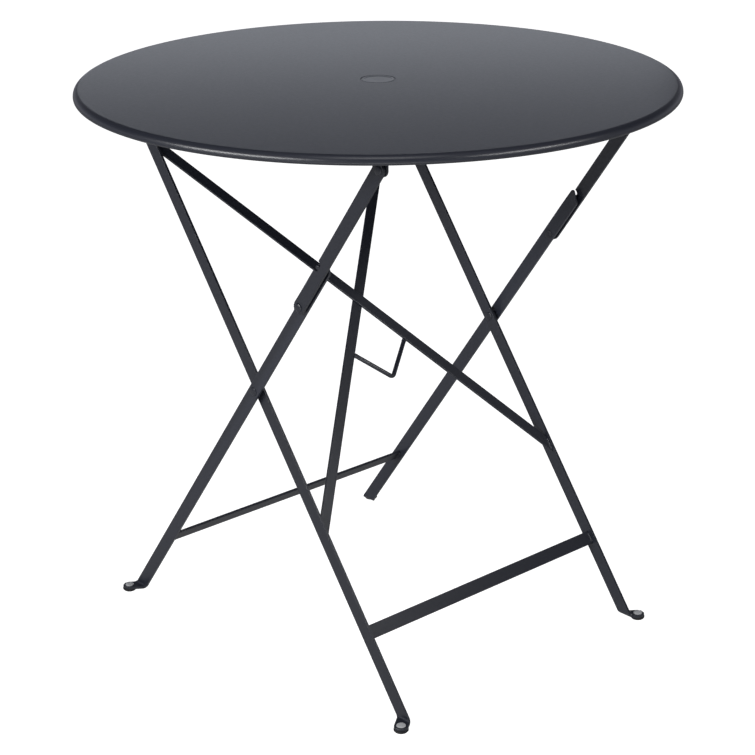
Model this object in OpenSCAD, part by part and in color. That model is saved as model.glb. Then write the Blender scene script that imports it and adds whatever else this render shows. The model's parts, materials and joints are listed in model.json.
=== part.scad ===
// Folding bistro table: a round pressed-steel top on two crossed leg frames.
// X is the direction in which the legs cross, Y runs along the hinge axes, Z is up.
// The origin is on the floor under the middle of the top. All sizes are in millimetres.

/* [Table top] */
// Outer diameter of the top
top_d = 770; // [720:5:800]
// Height of the top face above the floor
table_h = 740; // [730:1:760]
// Thickness of the pressed sheet
sheet_t = 1.5; // [1:0.1:2]
// Radius of the rounded edge
edge_r = 8; // [6:0.5:9]
// Height of the rolled rim
rim_h = 11.5; // [11:0.1:12]
// Diameter of the parasol hole
parasol_hole_d = 40; // [36:1:44]

/* [Leg frames] */
// Distance of each hinge line from the middle of the top
hinge_x = 245.5; // [242:0.5:250]
// Distance of the hinge lines below the top face
hinge_drop = 30; // [28:0.5:32]
// Distance of each leg's centre line from the middle, at floor level
foot_x = 270.5; // [266:0.5:274]
// Half spacing of the braced (inner) frame's bars
braced_y = 207.5; // [206:0.5:209]
// Step outwards from the braced legs' plane to the linked legs' plane
plane_step = 9; // [9:0.5:10]
// Step outwards from the linked legs' plane to the links' plane
link_step = 8; // [7.5:0.5:9]

/* [Flat bars] */
// Width of the leg and link bars
bar_w = 18; // [16:0.5:19]
// Thickness of the leg and link bars
bar_t = 3.5; // [3:0.5:5]
// Thickness of the stretchers
stretcher_t = 4; // [3:0.5:5]
// Width of the diagonal braces
brace_w = 15; // [12:0.5:16]
// Thickness of the diagonal braces
brace_t = 3; // [2:0.5:4]
// Height of the linked frame's stretcher above the floor
linked_stretcher_h = 101; // [98:1:108]
// Height of the braced frame's stretcher above the floor
braced_stretcher_h = 100; // [94:1:104]
// Height at which a diagonal brace leaves its upper leg
brace_high = 653; // [640:1:660]
// Height at which a diagonal brace meets its lower leg
brace_low = 213; // [205:1:230]
// Wire diameter of the parasol guide
wire_d = 6; // [4:0.5:7]

/* [Rivets] */
// Diameter of the holes in the bars
rivet_hole_d = 8; // [7:0.5:8.5]
// Diametral clearance of the rivets in their holes
rivet_play = 0.1; // [0.04:0.02:0.16]
// Diameter of the visible rivet heads
head_d = 12; // [11:0.5:13]

/* [Feet] */
// Thickness of the plastic glides
glide_h = 4; // [3:0.5:5]
// Distance of a glide's centre outwards from its leg's centre line
foot_out = 14.5; // [13:0.5:16]

/* [Hidden] */
$fn = 64;

STEEL = "#3b3e44";
PLASTIC = "#1b1c1e";
STUD_GREY = "#9a9da1";

// A frame leans this way along X: the linked frame towards +X, the braced frame towards -X.
LINKED = 1;
BRACED = -1;
SIDES = [-1, 1];
function side_name(side) = side < 0 ? "left" : "right";

// Linkage
top_r = top_d / 2;
sheet_under = table_h - sheet_t;
hinge_z = table_h - hinge_drop;
lean = atan((foot_x + hinge_x) / hinge_z);
pivot_z = hinge_z - hinge_x / tan(lean);
link_len = hinge_x;                             // half the hinge span, so the table folds flat
pivot_to_knee = hinge_x / sin(lean) - link_len;
knee_x = pivot_to_knee * sin(lean);
knee_z = pivot_z + pivot_to_knee * cos(lean);
knee_u = knee_z / cos(lean);                    // distance up the leg from floor level
extension = 83;                                 // how far the linked leg runs on past the knee
end_slant = 13;                                 // how much less it runs on at its lower edge
link_tail = 9;                                  // how far the link runs on below the knee

// Bar planes, from the middle outwards
linked_y = braced_y + plane_step;
link_y = linked_y + link_step;
braced_in = braced_y - bar_t / 2;
braced_out = braced_y + bar_t / 2;
linked_in = linked_y - bar_t / 2;
linked_out = linked_y + bar_t / 2;
link_in = link_y - bar_t / 2;
link_out = link_y + bar_t / 2;

// Rails: a flange under the sheet and a web that carries the hinge ears
rail_t = 3;
ear_out = link_in - 1.75;
ear_in = ear_out - rail_t;
ear_r = 9;
rail_half = hinge_x + ear_r;
flange_w = 25;
web_z = 729;                                    // lower edge of the web between the ears

// Top: the recess for the cover, the neck below it, and the curl under the rim
parasol_r = parasol_hole_d / 2;
seat_r = parasol_r + 2;
seat_depth = 4;
cap_play = 0.3;
neck_z = 726;
curl_r = 3.5;
curl_z = table_h - rim_h + curl_r;
lip_in = 9;                                     // how far in from the edge the curl reaches

// Rivets
hole_r = rivet_hole_d / 2;
shank_r = (rivet_hole_d - rivet_play) / 2;
hinge_gap = 0.3;                                // between the two halves of a rear hinge
hinge_head_h = 2;
inner_head_h = 3;
merge = 0.01;                                   // how far a shank runs into its heads

// Feet: the bar bends outwards on an arc about a level line, so the strip keeps its length
tab_t = bar_t;
tab_mid = glide_h + tab_t / 2;
foot_bend_r = 5;                                // radius of the bend, at the middle of the bar
foot_tab_x = foot_x - tab_mid * tan(lean);
disc_x = foot_x + (foot_out + foot_bend_r * (PI / 2 - 2) - tab_mid) * tan(lean);
glide_r = 9.5;
stud_hole_r = 3;
stud_play = 0.05;
stud_head_r = 6;
stud_head_h = 1.5;

// ---- shared shapes ----

// A flat shape drawn in X and Z, from one distance to another beside the middle plane
module slab(side, from_y, to_y)
    translate([0, side * (from_y + to_y) / 2, 0])
        rotate([90, 0, 0])
            linear_extrude(to_y - from_y, center = true)
                children();

// A round pin along Y
module pin(side, x, z, from_y, to_y, r)
    translate([x, side * (from_y + to_y) / 2, z])
        rotate([90, 0, 0])
            cylinder(h = to_y - from_y, r = r, center = true);

// Puts a flat shape drawn along +X onto a leg's centre line, starting at floor level
module along_leg(way)
    translate([-way * foot_x, 0])
        rotate(90 - way * lean)
            children();

// Puts a solid drawn in X and Y into the plane of a leg frame, with Z to the frame's back
module in_frame(way)
    translate([-way * foot_x, 0, 0])
        rotate([0, -(90 - way * lean), 0])
            children();

// A bar outline along +X with both ends round, between the centres of its end arcs
module bar_shape(from_u, to_u, r) {
    translate([from_u, -r]) square([to_u - from_u, 2 * r]);
    translate([from_u, 0]) circle(r);
    translate([to_u, 0]) circle(r);
}

// The outline of a leg bar, cut off level at the underside of its foot
module leg_outline(way, top_u)
    intersection() {
        along_leg(way) bar_shape(-bar_w, top_u, bar_w / 2);
        translate([-top_d / 2, glide_h]) square([top_d, table_h]);
    }

// The foot: the end of the leg bar, bent outwards into a level tab with a round end
module foot_tab(side, way, bar_y)
    difference() {
        translate([-way * foot_tab_x, side * bar_y, glide_h])
            linear_extrude(tab_t)
                intersection() {
                    rotate(atan2(side * foot_out, -way * (disc_x - foot_tab_x)))
                        bar_shape(0, norm([foot_out, disc_x - foot_tab_x]), bar_w / 2);
                    translate([-bar_w * 2, side > 0 ? -bar_t / 2 : -bar_w * 2 + bar_t / 2])
                        square([bar_w * 4, bar_w * 2]);
                }
        at_disc(side, way, bar_y)
            cylinder(h = glide_h + tab_t + 1, r = stud_hole_r);
    }

// Where the glide of a leg stands
module at_disc(side, way, bar_y)
    translate([-way * disc_x, side * (bar_y + foot_out), 0])
        children();

// ---- table top ----

module table_top()
    color(STEEL)
        rotate_extrude($fn = 180)
            polygon(concat(
                [[parasol_r, neck_z], [parasol_r + sheet_t, neck_z],
                 [parasol_r + sheet_t, sheet_under - seat_depth],
                 [seat_r + sheet_t, sheet_under - seat_depth], [seat_r + sheet_t, sheet_under]],
                arc(top_r - edge_r, table_h - edge_r, edge_r - sheet_t, 90, 0),
                arc(top_r - curl_r, curl_z, curl_r - sheet_t, 0, -90),
                [[top_r - lip_in, curl_z - curl_r + sheet_t], [top_r - lip_in, curl_z - curl_r]],
                arc(top_r - curl_r, curl_z, curl_r, -90, 0),
                arc(top_r - edge_r, table_h - edge_r, edge_r, 0, 90),
                [[seat_r, table_h], [seat_r, table_h - seat_depth], [parasol_r, table_h - seat_depth]]
            ));

// Points of an arc about [cx, cy]
function arc(cx, cy, r, from, to, steps = 8) =
    [for (i = [0 : steps]) let (a = from + (to - from) * i / steps) [cx + r * cos(a), cy + r * sin(a)]];

module parasol_cap()
    color(PLASTIC)
        translate([0, 0, table_h - seat_depth])
            cylinder(h = seat_depth, r = seat_r - cap_play);

module top_rail(side)
    color(STEEL)
        difference() {
            union() {
                translate([-rail_half, side > 0 ? ear_out - flange_w : -ear_out, sheet_under - rail_t])
                    cube([2 * rail_half, flange_w, rail_t]);
                slab(side, ear_in, ear_out)
                    union() {
                        translate([-rail_half, web_z])
                            square([2 * rail_half, sheet_under - web_z]);
                        for (end = SIDES)
                            translate([end * hinge_x, hinge_z]) ear_outline();
                    }
            }
            for (end = SIDES)
                pin(side, end * hinge_x, hinge_z, ear_in - 1, ear_out + 1, hole_r);
        }

// A hinge ear with a round lower end
module ear_outline() {
    translate([-ear_r, 0]) square([2 * ear_r, sheet_under - hinge_z]);
    circle(ear_r);
}

// ---- braced (inner) frame ----

module braced_leg(side)
    color(STEEL)
        difference() {
            union() {
                slab(side, braced_in, braced_out) leg_outline(BRACED, hinge_z / cos(lean));
                foot_tab(side, BRACED, braced_y);
            }
            pin(side, 0, pivot_z, braced_in - 1, braced_out + 1, hole_r);
            pin(side, -hinge_x, hinge_z, braced_in - 1, braced_out + 1, hole_r);
        }

module stretcher(way, height, half_len)
    color(STEEL)
        in_frame(way)
            translate([height / cos(lean), 0, 0])
                cube([bar_w, 2 * half_len, stretcher_t], center = true);

// The plane in which the two braces meet lies this far in front of the legs' centre lines
brace_front = 2.5;

// A diagonal brace, which starts high on the leg of the side given
module diagonal_brace(high_side, from_z)
    color(STEEL)
        in_frame(BRACED) {
            high_u = brace_high / cos(lean);
            low_u = brace_low / cos(lean);
            half_u = brace_w / 2 * sqrt(1 + pow((high_u - low_u) / (2 * braced_in), 2));
            translate([0, 0, from_z])
                linear_extrude(brace_t)
                    polygon([
                        [high_u - half_u, high_side * braced_in], [high_u + half_u, high_side * braced_in],
                        [low_u + half_u, -high_side * braced_in], [low_u - half_u, -high_side * braced_in]
                    ]);
        }

// The V of the parasol guide: two arms that meet at a corner, in the plane in which the braces meet
guide_y = 45;                                   // half the distance between its ends
guide_high = 376;                               // height of its ends
guide_low = 340.5;                              // height of its corner

module parasol_guide()
    color(STEEL)
        in_frame(BRACED) {
            corner_u = guide_low / cos(lean);
            rise = guide_high / cos(lean) - corner_u;
            arm = norm([rise, guide_y]);
            overlap = wire_d / 2;
            translate([corner_u, 0, -brace_front])
                for (side = SIDES)
                    rotate([0, 90, side * atan2(guide_y, rise)])
                        translate([0, 0, -overlap])
                            cylinder(h = arm + overlap, d = wire_d);
        }

// ---- linked (outer) frame ----

// The end of the linked leg, cut on a slant and longer on the stop stud's side
module slanted_end(from_u, to_u)
    polygon([
        [from_u, -bar_w / 2], [to_u - end_slant, -bar_w / 2], [to_u, bar_w / 2], [from_u, bar_w / 2]
    ]);

module linked_leg(side)
    color(STEEL)
        difference() {
            union() {
                slab(side, linked_in, linked_out) {
                    leg_outline(LINKED, knee_u);
                    along_leg(LINKED) slanted_end(knee_u, knee_u + extension);
                }
                foot_tab(side, LINKED, linked_y);
            }
            pin(side, 0, pivot_z, linked_in - 1, linked_out + 1, hole_r);
            pin(side, knee_x, knee_z, linked_in - 1, linked_out + 1, hole_r);
        }

// The stop stud sits at this place on the linked leg, in a notch in the link's upper edge.
// The link comes to rest with the notch's floor on the stud.
stop_u = knee_u + 68;
stop_v = 6;
stop_r = 3;
stop_play = 0.2;
notch_low = 4.5;                                // from the stud's middle to the lower wall
notch_high = 9;                                 // and to the upper wall

module knee_link(side)
    color(STEEL)
        slab(side, link_in, link_out)
            difference() {
                along_leg(LINKED)
                    bar_shape(knee_u + bar_w / 2 - link_tail, knee_u + link_len, bar_w / 2);
                along_leg(LINKED)
                    translate([stop_u - notch_low, stop_v - stop_r - stop_play])
                        square([notch_low + notch_high, bar_w]);
                translate([knee_x, knee_z]) circle(hole_r);
                translate([hinge_x, hinge_z]) circle(hole_r);
            }

module knee_stop(side)
    color(STEEL)
        slab(side, linked_out, link_out - 1)
            along_leg(LINKED)
                translate([stop_u, stop_v]) circle(stop_r);

// ---- rivets and washers ----

module washer(side, x, z, from_y, to_y)
    color(STEEL)
        difference() {
            pin(side, x, z, from_y, to_y, head_d / 2);
            pin(side, x, z, from_y - 1, to_y + 1, hole_r);
        }

// A rivet from its inner head to its outer head
module rivet(side, x, z, from_y, to_y, inner_h, outer_h)
    color(STEEL) {
        pin(side, x, z, from_y - merge, to_y + merge, shank_r);
        pin(side, x, z, from_y - inner_h, from_y, head_d / 2);
        pin(side, x, z, to_y, to_y + outer_h, head_d / 2);
    }

module scissor_rivet(side)
    rivet(side, 0, pivot_z, braced_in, linked_out, inner_h = 2, outer_h = 1.5);

module knee_rivet(side)
    rivet(side, knee_x, knee_z, linked_in, link_out, inner_h = 1.7, outer_h = 2.5);

module front_hinge_rivet(side)
    rivet(side, hinge_x, hinge_z, ear_in, link_out, inner_h = inner_head_h, outer_h = hinge_head_h);

// The braced leg's own half of the rear hinge, flush at the outside
module rear_hinge_rivet(side)
    color(STEEL) {
        pin(side, -hinge_x, hinge_z, braced_in - merge, braced_out, shank_r);
        pin(side, -hinge_x, hinge_z, braced_in - inner_head_h, braced_in, head_d / 2);
    }

// The ear's half of the rear hinge: a collar that spaces the braced leg from the ear
module rear_hinge_pin(side)
    color(STEEL) {
        pin(side, -hinge_x, hinge_z, braced_out + hinge_gap, ear_in, head_d / 2);
        pin(side, -hinge_x, hinge_z, ear_in - merge, ear_out + merge, shank_r);
        pin(side, -hinge_x, hinge_z, ear_out, ear_out + hinge_head_h, head_d / 2);
    }

// ---- feet ----

module foot_glide(side, way, bar_y)
    color(PLASTIC)
        at_disc(side, way, bar_y)
            cylinder(h = glide_h, r = glide_r);

module foot_stud(side, way, bar_y)
    color(STUD_GREY)
        at_disc(side, way, bar_y) {
            translate([0, 0, glide_h]) cylinder(h = tab_t, r = stud_hole_r - stud_play);
            translate([0, 0, glide_h + tab_t]) cylinder(h = stud_head_h, r = stud_head_r);
        }

table_top();
parasol_cap();
stretcher(BRACED, braced_stretcher_h, braced_in);  // braced_stretcher
stretcher(LINKED, linked_stretcher_h, linked_in);  // linked_stretcher
diagonal_brace(-1, -brace_front - brace_t);  // front_brace
diagonal_brace(1, -brace_front);  // back_brace
parasol_guide();
for (side = SIDES) {
    top_rail(side);
    braced_leg(side);
    linked_leg(side);
    knee_link(side);
    knee_stop(side);
    scissor_rivet(side);
    washer(side, 0, pivot_z, braced_out, linked_in);
    knee_rivet(side);
    washer(side, knee_x, knee_z, linked_out, link_in);
    front_hinge_rivet(side);
    washer(side, hinge_x, hinge_z, ear_out, link_in);
    rear_hinge_rivet(side);
    rear_hinge_pin(side);
    foot_glide(side, BRACED, braced_y);
    foot_glide(side, LINKED, linked_y);
    foot_stud(side, BRACED, braced_y);
    foot_stud(side, LINKED, linked_y);
}
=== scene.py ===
import json
import math

import bmesh
import bpy
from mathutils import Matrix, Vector


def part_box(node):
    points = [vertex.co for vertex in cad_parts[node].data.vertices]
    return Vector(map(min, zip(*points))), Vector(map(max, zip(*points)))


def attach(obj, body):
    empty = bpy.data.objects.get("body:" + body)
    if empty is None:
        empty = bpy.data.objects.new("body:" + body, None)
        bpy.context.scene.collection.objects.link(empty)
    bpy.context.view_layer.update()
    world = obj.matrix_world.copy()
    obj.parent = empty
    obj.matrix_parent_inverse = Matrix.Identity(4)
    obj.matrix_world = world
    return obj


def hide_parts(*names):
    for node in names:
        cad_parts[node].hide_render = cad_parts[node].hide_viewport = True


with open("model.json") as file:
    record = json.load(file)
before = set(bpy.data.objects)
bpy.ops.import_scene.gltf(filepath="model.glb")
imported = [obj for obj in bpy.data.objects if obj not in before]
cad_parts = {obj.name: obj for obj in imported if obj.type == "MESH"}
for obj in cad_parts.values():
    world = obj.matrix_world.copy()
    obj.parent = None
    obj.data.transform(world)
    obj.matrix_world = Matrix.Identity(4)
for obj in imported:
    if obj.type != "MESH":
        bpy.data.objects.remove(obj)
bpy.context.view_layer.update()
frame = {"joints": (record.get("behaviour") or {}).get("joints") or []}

# The table's looks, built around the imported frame. Everything is in metres, in the row's frame:
# X is the direction in which the legs cross, Y runs along the hinge axes and Z is up.

MM = 0.001
SIDES = {"left": -1, "right": 1}
LINKED = 1        # this frame's legs lean towards +X as they rise
BRACED = -1       # and this one's towards -X
WAY_NAMES = {LINKED: "linked", BRACED: "braced"}
WAY_BODIES = {LINKED: "linked_frame", BRACED: "braced_frame"}


# ---- places, from the frame ----

def middle(node):
    low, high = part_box(node)
    return (low + high) / 2


def size(node):
    low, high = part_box(node)
    return high - low


PIVOTS = {j["name"]: Vector(j["pos_m"]) for j in frame["joints"] if "pos_m" in j}
PIVOT = PIVOTS["scissor_fold"]
KNEE = PIVOTS["knee_fold"]
HINGE = PIVOTS["top_hinge"]
LEAN = math.atan2(HINGE.x, HINGE.z - PIVOT.z)
SIN, COS = math.sin(LEAN), math.cos(LEAN)
FOOT_X = PIVOT.z * SIN / COS

TOP_R = size("table_top").x / 2
TOP_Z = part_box("table_top")[1].z
BAR_W = 18 * MM
BAR_T = size("right_knee_link").y
BAR_Y = {
    LINKED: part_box("right_linked_leg")[0].y + BAR_T / 2,
    BRACED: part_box("right_braced_leg")[0].y + BAR_T / 2,
}
LINK_Y = middle("right_knee_link").y
BAR_EDGE = 1.1 * MM
STRETCHER_T = 4 * MM
RAIL_T = 3 * MM
RIVET_SHANK_R = 3.95 * MM
RIVET_HOLE_R = 4 * MM

GLIDE_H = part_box("right_linked_glide")[1].z
FOOT_OUT = middle("right_linked_glide").y - BAR_Y[LINKED]
FOOT_BEND_R = 5 * MM
BEND_START = GLIDE_H + BAR_T / 2 + FOOT_BEND_R


def up_leg(z):
    """The distance up a leg's centre line from floor level to a height."""
    return z / COS


# ---- mesh helpers ----

def rounded(corners, closed=True, steps=6):
    """Points of an outline whose corners are (a, b, radius)."""
    points = []
    count = len(corners)
    for i, (a, b, radius) in enumerate(corners):
        corner = Vector((a, b))
        at_end = not closed and i in (0, count - 1)
        if radius == 0 or at_end:
            points.append(corner)
            continue
        to_last = (Vector(corners[i - 1][:2]) - corner).normalized()
        to_next = (Vector(corners[(i + 1) % count][:2]) - corner).normalized()
        half = to_last.angle(to_next) / 2
        centre = corner + (to_last + to_next).normalized() * radius / math.sin(half)
        start = corner + to_last * radius / math.tan(half) - centre
        end = corner + to_next * radius / math.tan(half) - centre
        first = math.atan2(start.y, start.x)
        sweep = (math.atan2(end.y, end.x) - first + math.pi) % (2 * math.pi) - math.pi
        for k in range(steps + 1):
            angle = first + sweep * k / steps
            points.append(centre + radius * Vector((math.cos(angle), math.sin(angle))))
    return points


def arc(cx, cy, radius, first, last, steps):
    """Points of an arc, in degrees."""
    angles = [math.radians(first + (last - first) * k / steps) for k in range(steps + 1)]
    return [Vector((cx + radius * math.cos(a), cy + radius * math.sin(a))) for a in angles]


def plate(outline, thickness, edge, segments=4):
    """A flat plate on the plane z = 0 with rounded edges, from an anticlockwise outline."""
    bm = bmesh.new()
    low = [bm.verts.new((p.x, p.y, -thickness / 2)) for p in outline]
    high = [bm.verts.new((p.x, p.y, thickness / 2)) for p in outline]
    bm.faces.new(reversed(low))
    bm.faces.new(high)
    for i in range(len(outline)):
        j = (i + 1) % len(outline)
        bm.faces.new((low[i], low[j], high[j], high[i]))
    rims = [e for e in bm.edges if e.verts[0].co.z == e.verts[1].co.z]
    bmesh.ops.bevel(
        bm, geom=rims, offset=edge, segments=segments, profile=0.5, affect="EDGES", clamp_overlap=True
    )
    return bm


def cut_strips(bm, point, normal, length, count):
    """Cuts a mesh across into narrow strips from a plane onwards, so that it can bend there."""
    step = Vector(normal).normalized() * length / count
    for k in range(count + 1):
        geometry = bm.verts[:] + bm.edges[:] + bm.faces[:]
        bmesh.ops.bisect_plane(bm, geom=geometry, plane_co=Vector(point) + step * k, plane_no=normal)


def lathe(profile, segments, place):
    """Turns a profile of (radius, height) points about an axis. place maps (x, y, height)."""
    bm = bmesh.new()
    turns = [2 * math.pi * k / segments for k in range(segments)]
    on_axis = 1e-9
    rings = []
    for radius, height in profile:
        if radius < on_axis:
            rings.append([bm.verts.new(place(0, 0, height))] * segments)
        else:
            rings.append([
                bm.verts.new(place(radius * math.cos(t), radius * math.sin(t), height)) for t in turns
            ])
    pairs = list(zip(rings, rings[1:]))
    if rings[0][0] is not rings[0][1]:
        pairs.append((rings[-1], rings[0]))
    for ring, following in pairs:
        for k in range(segments):
            n = (k + 1) % segments
            corners = [ring[k], ring[n], following[n], following[k]]
            bm.faces.new(list(dict.fromkeys(corners)))
    return bm


def sweep(bm, points, radii, sides=16):
    """Adds a closed round tube along points, with a radius at each, to a mesh."""
    rings = []
    for i, point in enumerate(points):
        ahead = points[min(i + 1, len(points) - 1)] - points[max(i - 1, 0)]
        across = ahead.cross(Vector((0, 1, 0)))
        if across.length < 1e-6 * MM:
            across = Vector((1, 0, 0))
        across.normalize()
        other = ahead.normalized().cross(across)
        rings.append([
            bm.verts.new(point + radii[i] * (
                across * math.cos(2 * math.pi * k / sides) + other * math.sin(2 * math.pi * k / sides)
            ))
            for k in range(sides)
        ])
    for ring, following in zip(rings, rings[1:]):
        for k in range(sides):
            n = (k + 1) % sides
            bm.faces.new((ring[k], ring[n], following[n], following[k]))
    bm.faces.new(rings[0])
    bm.faces.new(rings[-1])


def bead(bm, start, end, radius):
    """Adds a weld bead from start to end: a low ridge of overlapping ripples with rounded ends."""
    ripple = 1.6 * MM
    length = (end - start).length
    count = max(int(length / ripple * 4), 12)
    points = [start.lerp(end, k / count) for k in range(count + 1)]
    radii = []
    for k in range(count + 1):
        along = length * k / count
        from_end = min(along, length - along)
        taper = math.sqrt(max(1 - (1 - min(from_end / radius, 1)) ** 2, 0.02))
        radii.append(radius * taper * (1 + 0.10 * math.sin(2 * math.pi * along / ripple)))
    sweep(bm, points, radii, sides=10)


def move_points(bm, mapping):
    for v in bm.verts:
        v.co = mapping(*v.co)


def add_piece(bm, name, body, material, replaces=()):
    """Makes a smooth-shaded object of a mesh, and ties it to its CAD body and nodes."""
    bmesh.ops.recalc_face_normals(bm, faces=bm.faces)
    mesh = bpy.data.meshes.new(name)
    bm.to_mesh(mesh)
    bm.free()
    mesh.polygons.foreach_set("use_smooth", [True] * len(mesh.polygons))
    piece = bpy.data.objects.new(name, mesh)
    bpy.context.scene.collection.objects.link(piece)
    mesh.materials.append(material)
    weighted = piece.modifiers.new("weighted_normals", "WEIGHTED_NORMAL")
    weighted.keep_sharp = True
    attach(piece, body)
    for node in replaces:
        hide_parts(node)


# ---- materials ----

def blank_material(name):
    material = bpy.data.materials.new(name)
    material.use_nodes = True
    tree = material.node_tree
    return material, tree, tree.nodes["Principled BSDF"]


def noise(tree, scale, detail):
    """A noise texture in the row's frame, with its scale in features per metre."""
    coordinates = tree.nodes.new("ShaderNodeTexCoord")
    texture = tree.nodes.new("ShaderNodeTexNoise")
    texture.inputs["Scale"].default_value = scale
    texture.inputs["Detail"].default_value = detail
    tree.links.new(coordinates.outputs["Object"], texture.inputs["Vector"])
    return texture.outputs["Fac"]


def spread(tree, value, low, high, from_low=0.3, from_high=0.7):
    """Maps a value to a range. The default limits suit a noise."""
    node = tree.nodes.new("ShaderNodeMapRange")
    node.inputs["From Min"].default_value = from_low
    node.inputs["From Max"].default_value = from_high
    node.inputs["To Min"].default_value = low
    node.inputs["To Max"].default_value = high
    tree.links.new(value, node.inputs["Value"])
    return node.outputs["Result"]


def blend_colours(tree, factor, low, high):
    node = tree.nodes.new("ShaderNodeMix")
    node.data_type = "RGBA"
    node.inputs["A"].default_value = (*low, 1)
    node.inputs["B"].default_value = (*high, 1)
    tree.links.new(factor, node.inputs["Factor"])
    return node


def bump(tree, height, distance, strength, last=None):
    """A bump from a height map, on top of the last bump if there is one."""
    node = tree.nodes.new("ShaderNodeBump")
    node.inputs["Distance"].default_value = distance
    node.inputs["Strength"].default_value = strength
    tree.links.new(height, node.inputs["Height"])
    if last is not None:
        tree.links.new(last, node.inputs["Normal"])
    return node.outputs["Normal"]


def coated_steel(name, dark, light):
    """Satin powder coat: orange-peel skin, a fine grain, uneven gloss, and a painted highlight that
    lightens the edges.
    """
    material, tree, shader = blank_material(name)
    grain = blend_colours(tree, spread(tree, noise(tree, 2600, 3), 0, 1), dark, light)
    geometry = tree.nodes.new("ShaderNodeNewGeometry")
    edge_highlight_share = 0.35          # how much of the painted edge highlight shows at the most
    # painted highlight: convex edges, found by pointiness, are mixed towards a colour 2.2 times the
    # light tone
    edge_highlight_colour = [c * 2.2 for c in light]
    edges = spread(tree, geometry.outputs["Pointiness"], 0, edge_highlight_share, from_low=0.53, from_high=0.62)
    painted_edge_highlight = tree.nodes.new("ShaderNodeMix")
    painted_edge_highlight.data_type = "RGBA"
    painted_edge_highlight.inputs["B"].default_value = (*edge_highlight_colour, 1)
    tree.links.new(edges, painted_edge_highlight.inputs["Factor"])
    tree.links.new(grain.outputs["Result"], painted_edge_highlight.inputs["A"])
    tree.links.new(painted_edge_highlight.outputs["Result"], shader.inputs["Base Color"])

    roughness = spread(tree, noise(tree, 220, 3), 0.305, 0.335)
    tree.links.new(roughness, shader.inputs["Roughness"])

    orange_peel = bump(tree, noise(tree, 900, 2), 0.05 * MM, 0.3)
    skin = bump(tree, noise(tree, 3200, 2), 0.03 * MM, 0.4, orange_peel)
    tree.links.new(skin, shader.inputs["Normal"])
    shader.inputs["Specular IOR Level"].default_value = 0.75
    return material


def moulded_plastic(name, dark, light, smoothest, roughest):
    """Moulded plastic with a fine spark-eroded grain."""
    material, tree, shader = blank_material(name)
    grain = blend_colours(tree, spread(tree, noise(tree, 700, 4), 0, 1), dark, light)
    tree.links.new(grain.outputs["Result"], shader.inputs["Base Color"])
    roughness = spread(tree, noise(tree, 90, 3), smoothest, roughest)
    tree.links.new(roughness, shader.inputs["Roughness"])
    tree.links.new(bump(tree, noise(tree, 2400, 3), 0.08 * MM, 0.4), shader.inputs["Normal"])
    return material


COAT = coated_steel("powder_coat", (0.016, 0.018, 0.027), (0.021, 0.024, 0.035))
BLACK = moulded_plastic("glide_plastic", (0.010, 0.010, 0.011), (0.018, 0.018, 0.019), 0.48, 0.62)
CAP = moulded_plastic("cap_plastic", (0.098, 0.104, 0.118), (0.116, 0.123, 0.139), 0.29, 0.35)
GREY = moulded_plastic("stud_plastic", (0.50, 0.51, 0.52), (0.58, 0.59, 0.60), 0.35, 0.5)


# ---- table top ----

def upright(x, y, z):
    return Vector((x, y, z))


def make_top():
    """One pressed sheet: a flat face, a rounded edge, a rolled rim, and the hole's seat and neck."""
    sheet = 1.5 * MM
    edge_r = 8 * MM
    rim_h = 11.5 * MM
    lip_in = 8.5 * MM          # how far in from the edge the rim's turned-in lip ends
    hole_r = 20 * MM
    seat_r = 22 * MM
    seat_depth = 4 * MM
    rim_z = TOP_Z - rim_h
    lip_r = TOP_R - lip_in
    seat_z = TOP_Z - seat_depth
    neck_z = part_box("table_top")[0].z
    profile = rounded([
        (hole_r, neck_z, 0.5 * MM),
        (hole_r, seat_z, 0.6 * MM),
        (seat_r, seat_z, 0.4 * MM),
        (seat_r, TOP_Z, 1.2 * MM),
        (TOP_R, TOP_Z, edge_r),
        (TOP_R, rim_z, 3.2 * MM),
        (lip_r, rim_z, 0.6 * MM),
        (lip_r, rim_z + sheet, 0.6 * MM),
        (TOP_R - sheet, rim_z + sheet, 1.8 * MM),
        (TOP_R - sheet, TOP_Z - sheet, edge_r - sheet),
        (seat_r + sheet, TOP_Z - sheet, 0.8 * MM),
        (seat_r + sheet, seat_z - sheet, 0.9 * MM),
        (hole_r + sheet, seat_z - sheet, 0.5 * MM),
        (hole_r + sheet, neck_z, 0.5 * MM),
    ], steps=8)
    bm = lathe(profile, 288, upright)
    add_piece(bm, "top_sheet", "top", COAT, ["table_top"])


def make_cap():
    """The cover of the parasol hole: a shallow dished disc with a rounded edge."""
    low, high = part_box("parasol_cap")
    radius = (high.x - low.x) / 2
    rim_w = 3.5 * MM
    slope_w = 0.7 * MM         # from the raised rim down to the dish
    dish_z = high.z - 0.5 * MM
    profile = rounded([
        (0, low.z, 0),
        (radius - 0.6 * MM, low.z, 0.5 * MM),
        (radius, high.z, 1.0 * MM),
        (radius - rim_w, high.z, 0.8 * MM),
        (radius - rim_w - slope_w, dish_z, 0.5 * MM),
        (0, dish_z, 0),
    ], closed=False)
    add_piece(lathe(profile, 96, upright), "hole_cover", "cap", CAP, ["parasol_cap"])


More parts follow.
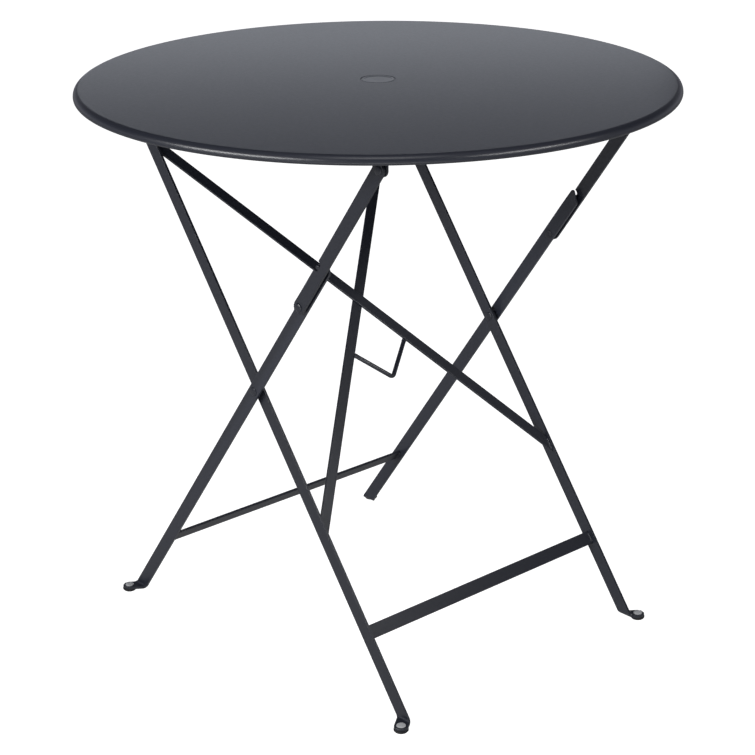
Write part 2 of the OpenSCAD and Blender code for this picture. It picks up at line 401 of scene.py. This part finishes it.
def make_rail(name, side):
    """A folded rail under the sheet: a flange, a web, and a hinge ear at each end."""
    node = f"{name}_top_rail"
    low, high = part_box(node)
    thickness = RAIL_T
    bend_r = 3 * MM
    web_y = max(abs(low.y), abs(high.y)) - thickness / 2
    flange_z = high.z - thickness / 2
    start = flange_z - bend_r
    flange_run = size(node).y - thickness / 2 - bend_r
    blank_top = start + bend_r * math.pi / 2 + flange_run
    web_above_hinge = 19 * MM
    web_z = HINGE.z + web_above_hinge
    half = high.x
    ear_r = half - HINGE.x
    ear_in = HINGE.x - ear_r
    tip_r = 0.99 * ear_r       # just under ear_r, so that the two arcs of an ear's tip stay apart
    outline = rounded([
        (-half, low.z, tip_r), (-ear_in, low.z, tip_r), (-ear_in, web_z, 3 * MM),
        (ear_in, web_z, 3 * MM), (ear_in, low.z, tip_r), (half, low.z, tip_r),
        (half, blank_top, 4 * MM), (-half, blank_top, 4 * MM),
    ], steps=10)
    bm = plate(outline, thickness, 0.6 * MM, 3)
    cut_strips(bm, (0, start, 0), (0, 1, 0), bend_r * math.pi / 2, 6)

    def fold(x, z, t):
        run = max(z - start, 0)
        angle = min(run / bend_r, math.pi / 2)
        flat = max(run - bend_r * math.pi / 2, 0)
        y = web_y - bend_r + (bend_r + t) * math.cos(angle) - flat
        return Vector((x, side * y, min(z, start) + (bend_r + t) * math.sin(angle)))

    move_points(bm, fold)
    add_piece(bm, f"{name}_rail", "top", COAT, [node])


# ---- flat bars ----

def bar_outline(from_u, top_end, notch=()):
    """A bar's outline in u and w, round at its lower end. A notch is in the w < 0 edge."""
    return [*notch, *top_end, *arc(from_u, 0, BAR_W / 2, 90, 270, 18)]


def round_end(centre_u):
    return arc(centre_u, 0, BAR_W / 2, -90, 90, 18)


def slanted_end(tip_u):
    """The linked leg's end, cut on a slant and longer on the stop stud's side."""
    half = BAR_W / 2
    slant = 13 * MM
    start_u, low_u = tip_u - 2 * BAR_W, tip_u - slant
    return rounded([
        (start_u, -half, 0), (tip_u, -half, 3 * MM), (low_u, half, 5 * MM), (start_u, half, 0),
    ], closed=False)


def leg_plane(way, u, w):
    """Where a point u up a leg and w across it lies, as X and Z."""
    return way * (u * SIN - FOOT_X + w * COS), u * COS - w * SIN


def make_leg(name, side, way):
    """A leg bar. Its lower end is bent outwards about a level line into the foot."""
    bend_length = FOOT_BEND_R * math.pi / 2
    disc_run = bend_length + FOOT_OUT - FOOT_BEND_R
    disc_u = (BEND_START - disc_run) / COS
    node = f"{name}_{WAY_NAMES[way]}_leg"
    top_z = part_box(node)[1].z
    if way == LINKED:
        top_end = slanted_end(up_leg(top_z - BAR_W / 2 * SIN))
    else:
        top_end = round_end(up_leg(top_z - BAR_W / 2))
    bm = plate(bar_outline(disc_u, top_end), BAR_T, BAR_EDGE)
    down = Vector((-COS, SIN, 0))
    cut_strips(bm, -down * BEND_START, down, bend_length, 8)

    def bend(u, w, t):
        x, z = leg_plane(way, u, w)
        run = max(BEND_START - z, 0)
        angle = min(run / FOOT_BEND_R, math.pi / 2)
        flat = max(run - bend_length, 0)
        out = FOOT_BEND_R - (FOOT_BEND_R - t) * math.cos(angle) + flat
        height = max(z, BEND_START) - (FOOT_BEND_R - t) * math.sin(angle)
        return Vector((x, side * (BAR_Y[way] + out), height))

    move_points(bm, bend)
    add_piece(bm, f"{node}_bar", WAY_BODIES[way], COAT, [node])


def make_link(name, side):
    """A knee link, notched for the stop stud of the linked leg."""
    node = f"{name}_knee_link"
    notch_low, notch_high = 4.5 * MM, 9 * MM    # from the stud's middle to the notch's walls
    play = 0.2 * MM
    corner_r = 1.2 * MM
    stud = f"{name}_knee_stop"
    from_hinge = middle(stud) - HINGE
    stud_u = up_leg(HINGE.z) + from_hinge.x * SIN + from_hinge.z * COS
    stud_w = from_hinge.x * COS - from_hinge.z * SIN
    low_wall, high_wall = stud_u - notch_low, stud_u + notch_high
    floor = stud_w + size(stud).x / 2 + play
    notch = rounded([
        (low_wall, -BAR_W / 2, 0), (low_wall, floor, corner_r),
        (high_wall, floor, corner_r), (high_wall, -BAR_W / 2, 0),
    ], closed=False)
    outline = bar_outline(up_leg(KNEE.z), round_end(up_leg(HINGE.z)), notch)
    bm = plate(outline, BAR_T, BAR_EDGE)

    def stand(u, w, t):
        x, z = leg_plane(LINKED, u, w)
        return Vector((x, side * (LINK_Y + t), z))

    move_points(bm, stand)
    add_piece(bm, f"{node}_bar", "knee_links", COAT, [node])


def in_frame(way, y, u, n):
    """A point in the plane of a leg frame, n in front of it."""
    x, z = leg_plane(way, u, 0)
    return Vector((x + COS * n, y, z - way * SIN * n))


def make_stretcher(way):
    """The flat bar between a frame's two legs."""
    node = f"{WAY_NAMES[way]}_stretcher"
    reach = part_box(node)[1].y
    at_u = up_leg(middle(node).z)
    half = BAR_W / 2
    outline = [Vector(p) for p in ((-reach, -half), (reach, -half), (reach, half), (-reach, half))]
    bm = plate(outline, STRETCHER_T, 1.2 * MM)
    move_points(bm, lambda y, u, n: in_frame(way, y, at_u + u, n))
    add_piece(bm, f"{node}_bar", WAY_BODIES[way], COAT, [node])


BRACE_HIGH = up_leg(653 * MM)
BRACE_LOW = up_leg(213 * MM)
BRACE_W = 15 * MM
BRACE_T = 3 * MM
BRACE_FRONT = 2.5 * MM     # how far in front of the legs' centre lines the two braces meet
BRACE_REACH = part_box("front_brace")[1].y


def make_brace(node, high_side, front):
    """A diagonal brace of the braced frame, cut to meet the legs. The two lie face to face."""
    rise = (BRACE_HIGH - BRACE_LOW) / (2 * BRACE_REACH)
    half = BRACE_W / 2 * math.sqrt(1 + rise * rise)
    ends = {high_side: BRACE_HIGH, -high_side: BRACE_LOW}
    outline = [
        Vector((-BRACE_REACH, ends[-1] - half)), Vector((BRACE_REACH, ends[1] - half)),
        Vector((BRACE_REACH, ends[1] + half)), Vector((-BRACE_REACH, ends[-1] + half)),
    ]
    bm = plate(outline, BRACE_T, 0.9 * MM)
    move_points(bm, lambda y, u, n: in_frame(
        BRACED, y, u, BRACE_FRONT + n + front * BRACE_T / 2
    ))
    add_piece(bm, f"{node}_bar", "braced_frame", COAT, [node])


GUIDE_Y = 45 * MM
GUIDE_HIGH = up_leg(376 * MM)
GUIDE_CORNER = up_leg(340.5 * MM)
GUIDE_R = 3 * MM


def make_guide():
    """The V-shaped wire under the braces' crossing, bent at its corner."""
    route = rounded([
        (-GUIDE_Y, GUIDE_HIGH, 0), (0, GUIDE_CORNER, 5 * MM), (GUIDE_Y, GUIDE_HIGH, 0)
    ], closed=False, steps=14)
    points = [in_frame(BRACED, p.x, p.y, BRACE_FRONT) for p in route]
    bm = bmesh.new()
    sweep(bm, points, [GUIDE_R] * len(points), sides=20)
    add_piece(bm, "pole_guide_wire", "braced_frame", COAT, ["parasol_guide"])


def make_welds():
    """Weld beads across the ends of the stretchers and braces, and at the ends of the guide."""
    stretcher_bead_r, brace_bead_r, guide_bead_r = 1.5 * MM, 1.4 * MM, 3.5 * MM
    stretcher_bead_half, brace_bead_half = 7 * MM, 9 * MM
    run_in = 0.4 * MM          # how far in from a bar's end its bead lies

    def bead_across(bm, way, y, u, n, half, radius):
        bead(bm, in_frame(way, y, u - half, n), in_frame(way, y, u + half, n), radius)

    for way in (LINKED, BRACED):
        bm = bmesh.new()
        node = f"{WAY_NAMES[way]}_stretcher"
        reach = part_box(node)[1].y
        at_u = up_leg(middle(node).z)
        for side in SIDES.values():
            y = side * (reach - run_in)
            for n in (-STRETCHER_T / 2, STRETCHER_T / 2):
                bead_across(bm, way, y, at_u, n, stretcher_bead_half, stretcher_bead_r)
        if way == BRACED:
            for front, high_side in ((1, -1), (-1, 1)):
                for side in SIDES.values():
                    u = BRACE_HIGH if side == high_side else BRACE_LOW
                    y = side * (BRACE_REACH - run_in)
                    n = BRACE_FRONT + front * BRACE_T
                    bead_across(bm, way, y, u, n, brace_bead_half, brace_bead_r)
            for side in SIDES.values():
                y, u = GUIDE_Y - guide_bead_r, GUIDE_HIGH - guide_bead_r
                start = in_frame(way, side * y, u, BRACE_FRONT)
                end = in_frame(way, side * GUIDE_Y, GUIDE_HIGH, BRACE_FRONT)
                bead(bm, start, end, guide_bead_r)
        name = f"{WAY_NAMES[way]}_frame_welds"
        add_piece(bm, name, WAY_BODIES[way], COAT)


# ---- rivets, washers and stops ----

def along_y(node, side):
    """A mapping that stands a lathe's axis on Y at a node's place, pointing outwards."""
    at = middle(node)

    def place(x, y, h):
        return Vector((at.x + x, side * h, at.z + y))

    return place


def reach_of(node):
    """The inner and outer ends of a node, as distances from the middle plane."""
    low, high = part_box(node)
    return tuple(sorted((abs(low.y), abs(high.y))))


def add_turned(profile, node, side, ending, body, segments=48):
    """Makes the turned piece that replaces a rivet, washer or stud."""
    bm = lathe(profile, segments, along_y(node, side))
    add_piece(bm, f"{node}_{ending}", body, COAT, [node])


def make_rivet(name, side, kind, body, inner_h, outer_h):
    """A rivet with a low domed head at each end. A head of no height is flush."""
    node = f"{name}_{kind}"
    inner, outer = reach_of(node)
    head_r = size(node).x / 2
    collar_h = 0.3 * MM        # the straight part of a head, below its dome
    steps = 8
    profile = [(0, inner)]
    for k in range(1, steps + 1):
        turn = math.radians(90 * k / steps)
        dome = (inner_h - collar_h) * (1 - math.cos(turn))
        profile.append((head_r * math.sin(turn), inner + dome))
    profile += [
        (head_r, inner + inner_h), (RIVET_SHANK_R, inner + inner_h), (RIVET_SHANK_R, outer - outer_h)
    ]
    if outer_h:
        profile += [(head_r, outer - outer_h)]
        for k in range(steps + 1):
            turn = math.radians(90 * k / steps)
            dome = (outer_h - collar_h) * (1 - math.sin(turn))
            profile.append((head_r * math.cos(turn), outer - dome))
    else:
        profile += [(0, outer)]
    add_turned(profile, node, side, "body", body)


def make_rear_pin(name, side):
    """The collar on the rear ear that spaces the braced leg, with its head outside the ear."""
    node = f"{name}_rear_hinge_pin"
    inner, outer = reach_of(node)
    head_h = 2 * MM
    ear_out = outer - head_h
    ear_in = ear_out - RAIL_T
    collar_r = size(node).x / 2
    profile = rounded([
        (0, inner, 0), (collar_r, inner, 0.6 * MM), (collar_r, ear_in, 0.3 * MM),
        (RIVET_SHANK_R, ear_in, 0), (RIVET_SHANK_R, ear_out, 0),
        (collar_r, ear_out, 0.3 * MM), (collar_r, outer, 1.2 * MM), (0, outer, 0),
    ], closed=False)
    add_turned(profile, node, side, "body", "top")


def make_washer(name, side, kind, body):
    """A washer between two bars, or between a bar and an ear."""
    node = f"{name}_{kind}"
    inner, outer = reach_of(node)
    outer_r = size(node).x / 2
    profile = rounded([
        (RIVET_HOLE_R, inner, 0.2 * MM), (outer_r, inner, 0.4 * MM),
        (outer_r, outer, 0.4 * MM), (RIVET_HOLE_R, outer, 0.2 * MM),
    ])
    add_turned(profile, node, side, "ring", body)


def make_stop(name, side):
    """The stud on the linked leg that the knee link's notch comes to rest on."""
    node = f"{name}_knee_stop"
    inner, outer = reach_of(node)
    radius = size(node).x / 2
    profile = rounded([
        (0, inner, 0), (radius, inner, 0.2 * MM), (radius, outer, 0.8 * MM), (0, outer, 0)
    ], closed=False)
    add_turned(profile, node, side, "stud", "linked_frame", segments=32)


# ---- feet ----

def make_foot(name, way):
    """A plastic glide under a foot, and the stud that holds it through the bar."""
    body = WAY_BODIES[way]
    glide = f"{name}_{WAY_NAMES[way]}_glide"
    stud = f"{name}_{WAY_NAMES[way]}_stud"
    at = middle(glide)

    def place(x, y, z):
        return Vector((at.x + x, at.y + y, z))

    radius = size(glide).x / 2
    profile = rounded([
        (0, 0, 0), (radius - 1.6 * MM, 0, 1.0 * MM), (radius, 1.8 * MM, 1.0 * MM),
        (radius, GLIDE_H, 0.5 * MM), (0, GLIDE_H, 0),
    ], closed=False)
    add_piece(lathe(profile, 64, place), f"{glide}_disc", body, BLACK, [glide])

    low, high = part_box(stud)
    head_r, shank_r = size(stud).x / 2, 2.95 * MM
    head_z = GLIDE_H + BAR_T
    profile = rounded([
        (0, low.z, 0), (shank_r, low.z, 0), (shank_r, head_z, 0), (head_r, head_z, 0.2 * MM),
        (head_r, high.z - 0.4 * MM, 0.5 * MM), (head_r - 1.6 * MM, high.z, 0.8 * MM), (0, high.z, 0),
    ], closed=False)
    add_piece(lathe(profile, 40, place), f"{stud}_head", body, GREY, [stud])


# ---- stage: camera, lights and floor ----

def make_camera():
    """The photograph's viewpoint, as fitted to it."""
    data = bpy.data.cameras.new("camera")
    data.sensor_width = 36
    data.lens = 101.03
    data.clip_end = 50
    camera = bpy.data.objects.new("camera", data)
    bpy.context.scene.collection.objects.link(camera)
    azimuth, elevation, roll = math.radians(47.56), math.radians(20.68), math.radians(-0.48)
    camera.location = (1.9543, -1.7920, 1.3355)
    camera.rotation_euler = (math.pi / 2 - elevation, 0, azimuth)
    camera.rotation_euler.rotate_axis("Z", roll)
    bpy.context.scene.camera = camera


def make_light(name, place, aim, width, height, power, colour=(1, 1, 1)):
    """A rectangular light, sized in metres, with its power in watts."""
    data = bpy.data.lights.new(name, "AREA")
    data.shape = "RECTANGLE"
    data.size = width
    data.size_y = height
    data.energy = power
    data.color = colour
    light = bpy.data.objects.new(name, data)
    bpy.context.scene.collection.objects.link(light)
    light.location = place
    direction = Vector(aim) - Vector(place)
    light.rotation_euler = direction.to_track_quat("-Z", "Y").to_euler()
    light.visible_camera = False


def make_world():
    """A studio that is white behind the table, and lights it from a pale horizon and a dimmer sky."""
    world = bpy.data.worlds.new("studio")
    world.use_nodes = True
    tree = world.node_tree
    coordinates = tree.nodes.new("ShaderNodeTexCoord")
    split = tree.nodes.new("ShaderNodeSeparateXYZ")
    ramp = tree.nodes.new("ShaderNodeValToRGB")
    tree.links.new(coordinates.outputs["Generated"], split.inputs["Vector"])
    tree.links.new(split.outputs["Z"], ramp.inputs["Fac"])
    tint = (0.94, 0.95, 1.08)
    # each stop is a direction's height, 0 at the horizon and 1 straight up, and its brightness
    stops = ((0.0, 0.7), (0.10, 0.45), (0.30, 0.12), (0.55, 0.06), (1.0, 0.34))
    elements = ramp.color_ramp.elements
    while len(elements) < len(stops):
        elements.new(0.5)
    for element, (place, level) in zip(elements, stops):
        element.position = place
        element.color = (*[level * part for part in tint], 1)
    studio = tree.nodes["Background"]
    studio.inputs["Strength"].default_value = 0.60
    tree.links.new(ramp.outputs["Color"], studio.inputs["Color"])
    backdrop = tree.nodes.new("ShaderNodeBackground")
    backdrop.inputs["Color"].default_value = (1, 1, 1, 1)
    seen = tree.nodes.new("ShaderNodeLightPath")
    mix = tree.nodes.new("ShaderNodeMixShader")
    tree.links.new(seen.outputs["Is Camera Ray"], mix.inputs["Fac"])
    tree.links.new(studio.outputs["Background"], mix.inputs[1])
    tree.links.new(backdrop.outputs["Background"], mix.inputs[2])
    tree.links.new(mix.outputs["Shader"], tree.nodes["World Output"].inputs["Surface"])
    bpy.context.scene.world = world


def make_floor():
    """A floor that is white to the camera, and glows only dimly on the table."""
    dim_glow, added_for_camera = 0.13, 0.90
    floor_mesh = bpy.data.meshes.new("floor")
    half = 12
    corners = [(-half, -half, 0), (half, -half, 0), (half, half, 0), (-half, half, 0)]
    floor_mesh.from_pydata(corners, [], [(0, 1, 2, 3)])
    floor = bpy.data.objects.new("floor", floor_mesh)
    bpy.context.scene.collection.objects.link(floor)
    material, tree, shader = blank_material("floor")
    shader.inputs["Base Color"].default_value = (0.4, 0.4, 0.4, 1)
    shader.inputs["Roughness"].default_value = 0.9
    shader.inputs["Emission Color"].default_value = (1, 1, 1, 1)
    seen = tree.nodes.new("ShaderNodeLightPath")
    glow = tree.nodes.new("ShaderNodeMath")
    glow.operation = "MULTIPLY_ADD"
    glow.inputs[1].default_value = added_for_camera
    glow.inputs[2].default_value = dim_glow
    tree.links.new(seen.outputs["Is Camera Ray"], glow.inputs[0])
    tree.links.new(glow.outputs["Value"], shader.inputs["Emission Strength"])
    floor_mesh.materials.append(material)


def make_stage():
    """The floor, the surroundings and the five lights."""
    make_floor()
    make_world()
    make_light("key", (-0.1, -2.7, 1.65), (0.1, -0.3, 0.7), 2.2, 0.5, 46)
    make_light("overhead", (0.9, -0.8, 2.8), (0, 0, 0.7), 1.0, 1.0, 6)
    make_light("fill", (1.4, -1.4, 0.16), (0, 0, 0.0), 1.6, 0.25, 4.5)
    make_light("side", (2.4, 0.55, 2.0), (0.3, -0.1, 0.7), 1.6, 0.4, 20)
    make_light("sweep", (-0.58, 0.49, 0.86), (0, 0, 0.72), 1.05, 0.16, 0.41, (0.87, 0.92, 1.0))
    bpy.context.scene.view_settings.view_transform = "Standard"


make_camera()
make_stage()
make_top()
make_cap()
for side_name, side_sign in SIDES.items():
    make_rail(side_name, side_sign)
    make_leg(side_name, side_sign, BRACED)
    make_leg(side_name, side_sign, LINKED)
    make_link(side_name, side_sign)
    make_stop(side_name, side_sign)
    make_foot(side_name, BRACED)
    make_foot(side_name, LINKED)
    make_rivet(side_name, side_sign, "scissor_rivet", "braced_frame", inner_h=2 * MM, outer_h=1.5 * MM)
    make_rivet(side_name, side_sign, "knee_rivet", "linked_frame", inner_h=1.7 * MM, outer_h=2.5 * MM)
    make_rivet(side_name, side_sign, "front_hinge_rivet", "top", inner_h=3 * MM, outer_h=2 * MM)
    make_rivet(side_name, side_sign, "rear_hinge_rivet", "braced_frame", inner_h=3 * MM, outer_h=0)
    make_rear_pin(side_name, side_sign)
    make_washer(side_name, side_sign, "scissor_washer", "braced_frame")
    make_washer(side_name, side_sign, "knee_washer", "linked_frame")
    make_washer(side_name, side_sign, "front_hinge_washer", "top")
make_stretcher(LINKED)
make_stretcher(BRACED)
make_brace("front_brace", -1, 1)
make_brace("back_brace", 1, -1)
make_guide()
make_welds()
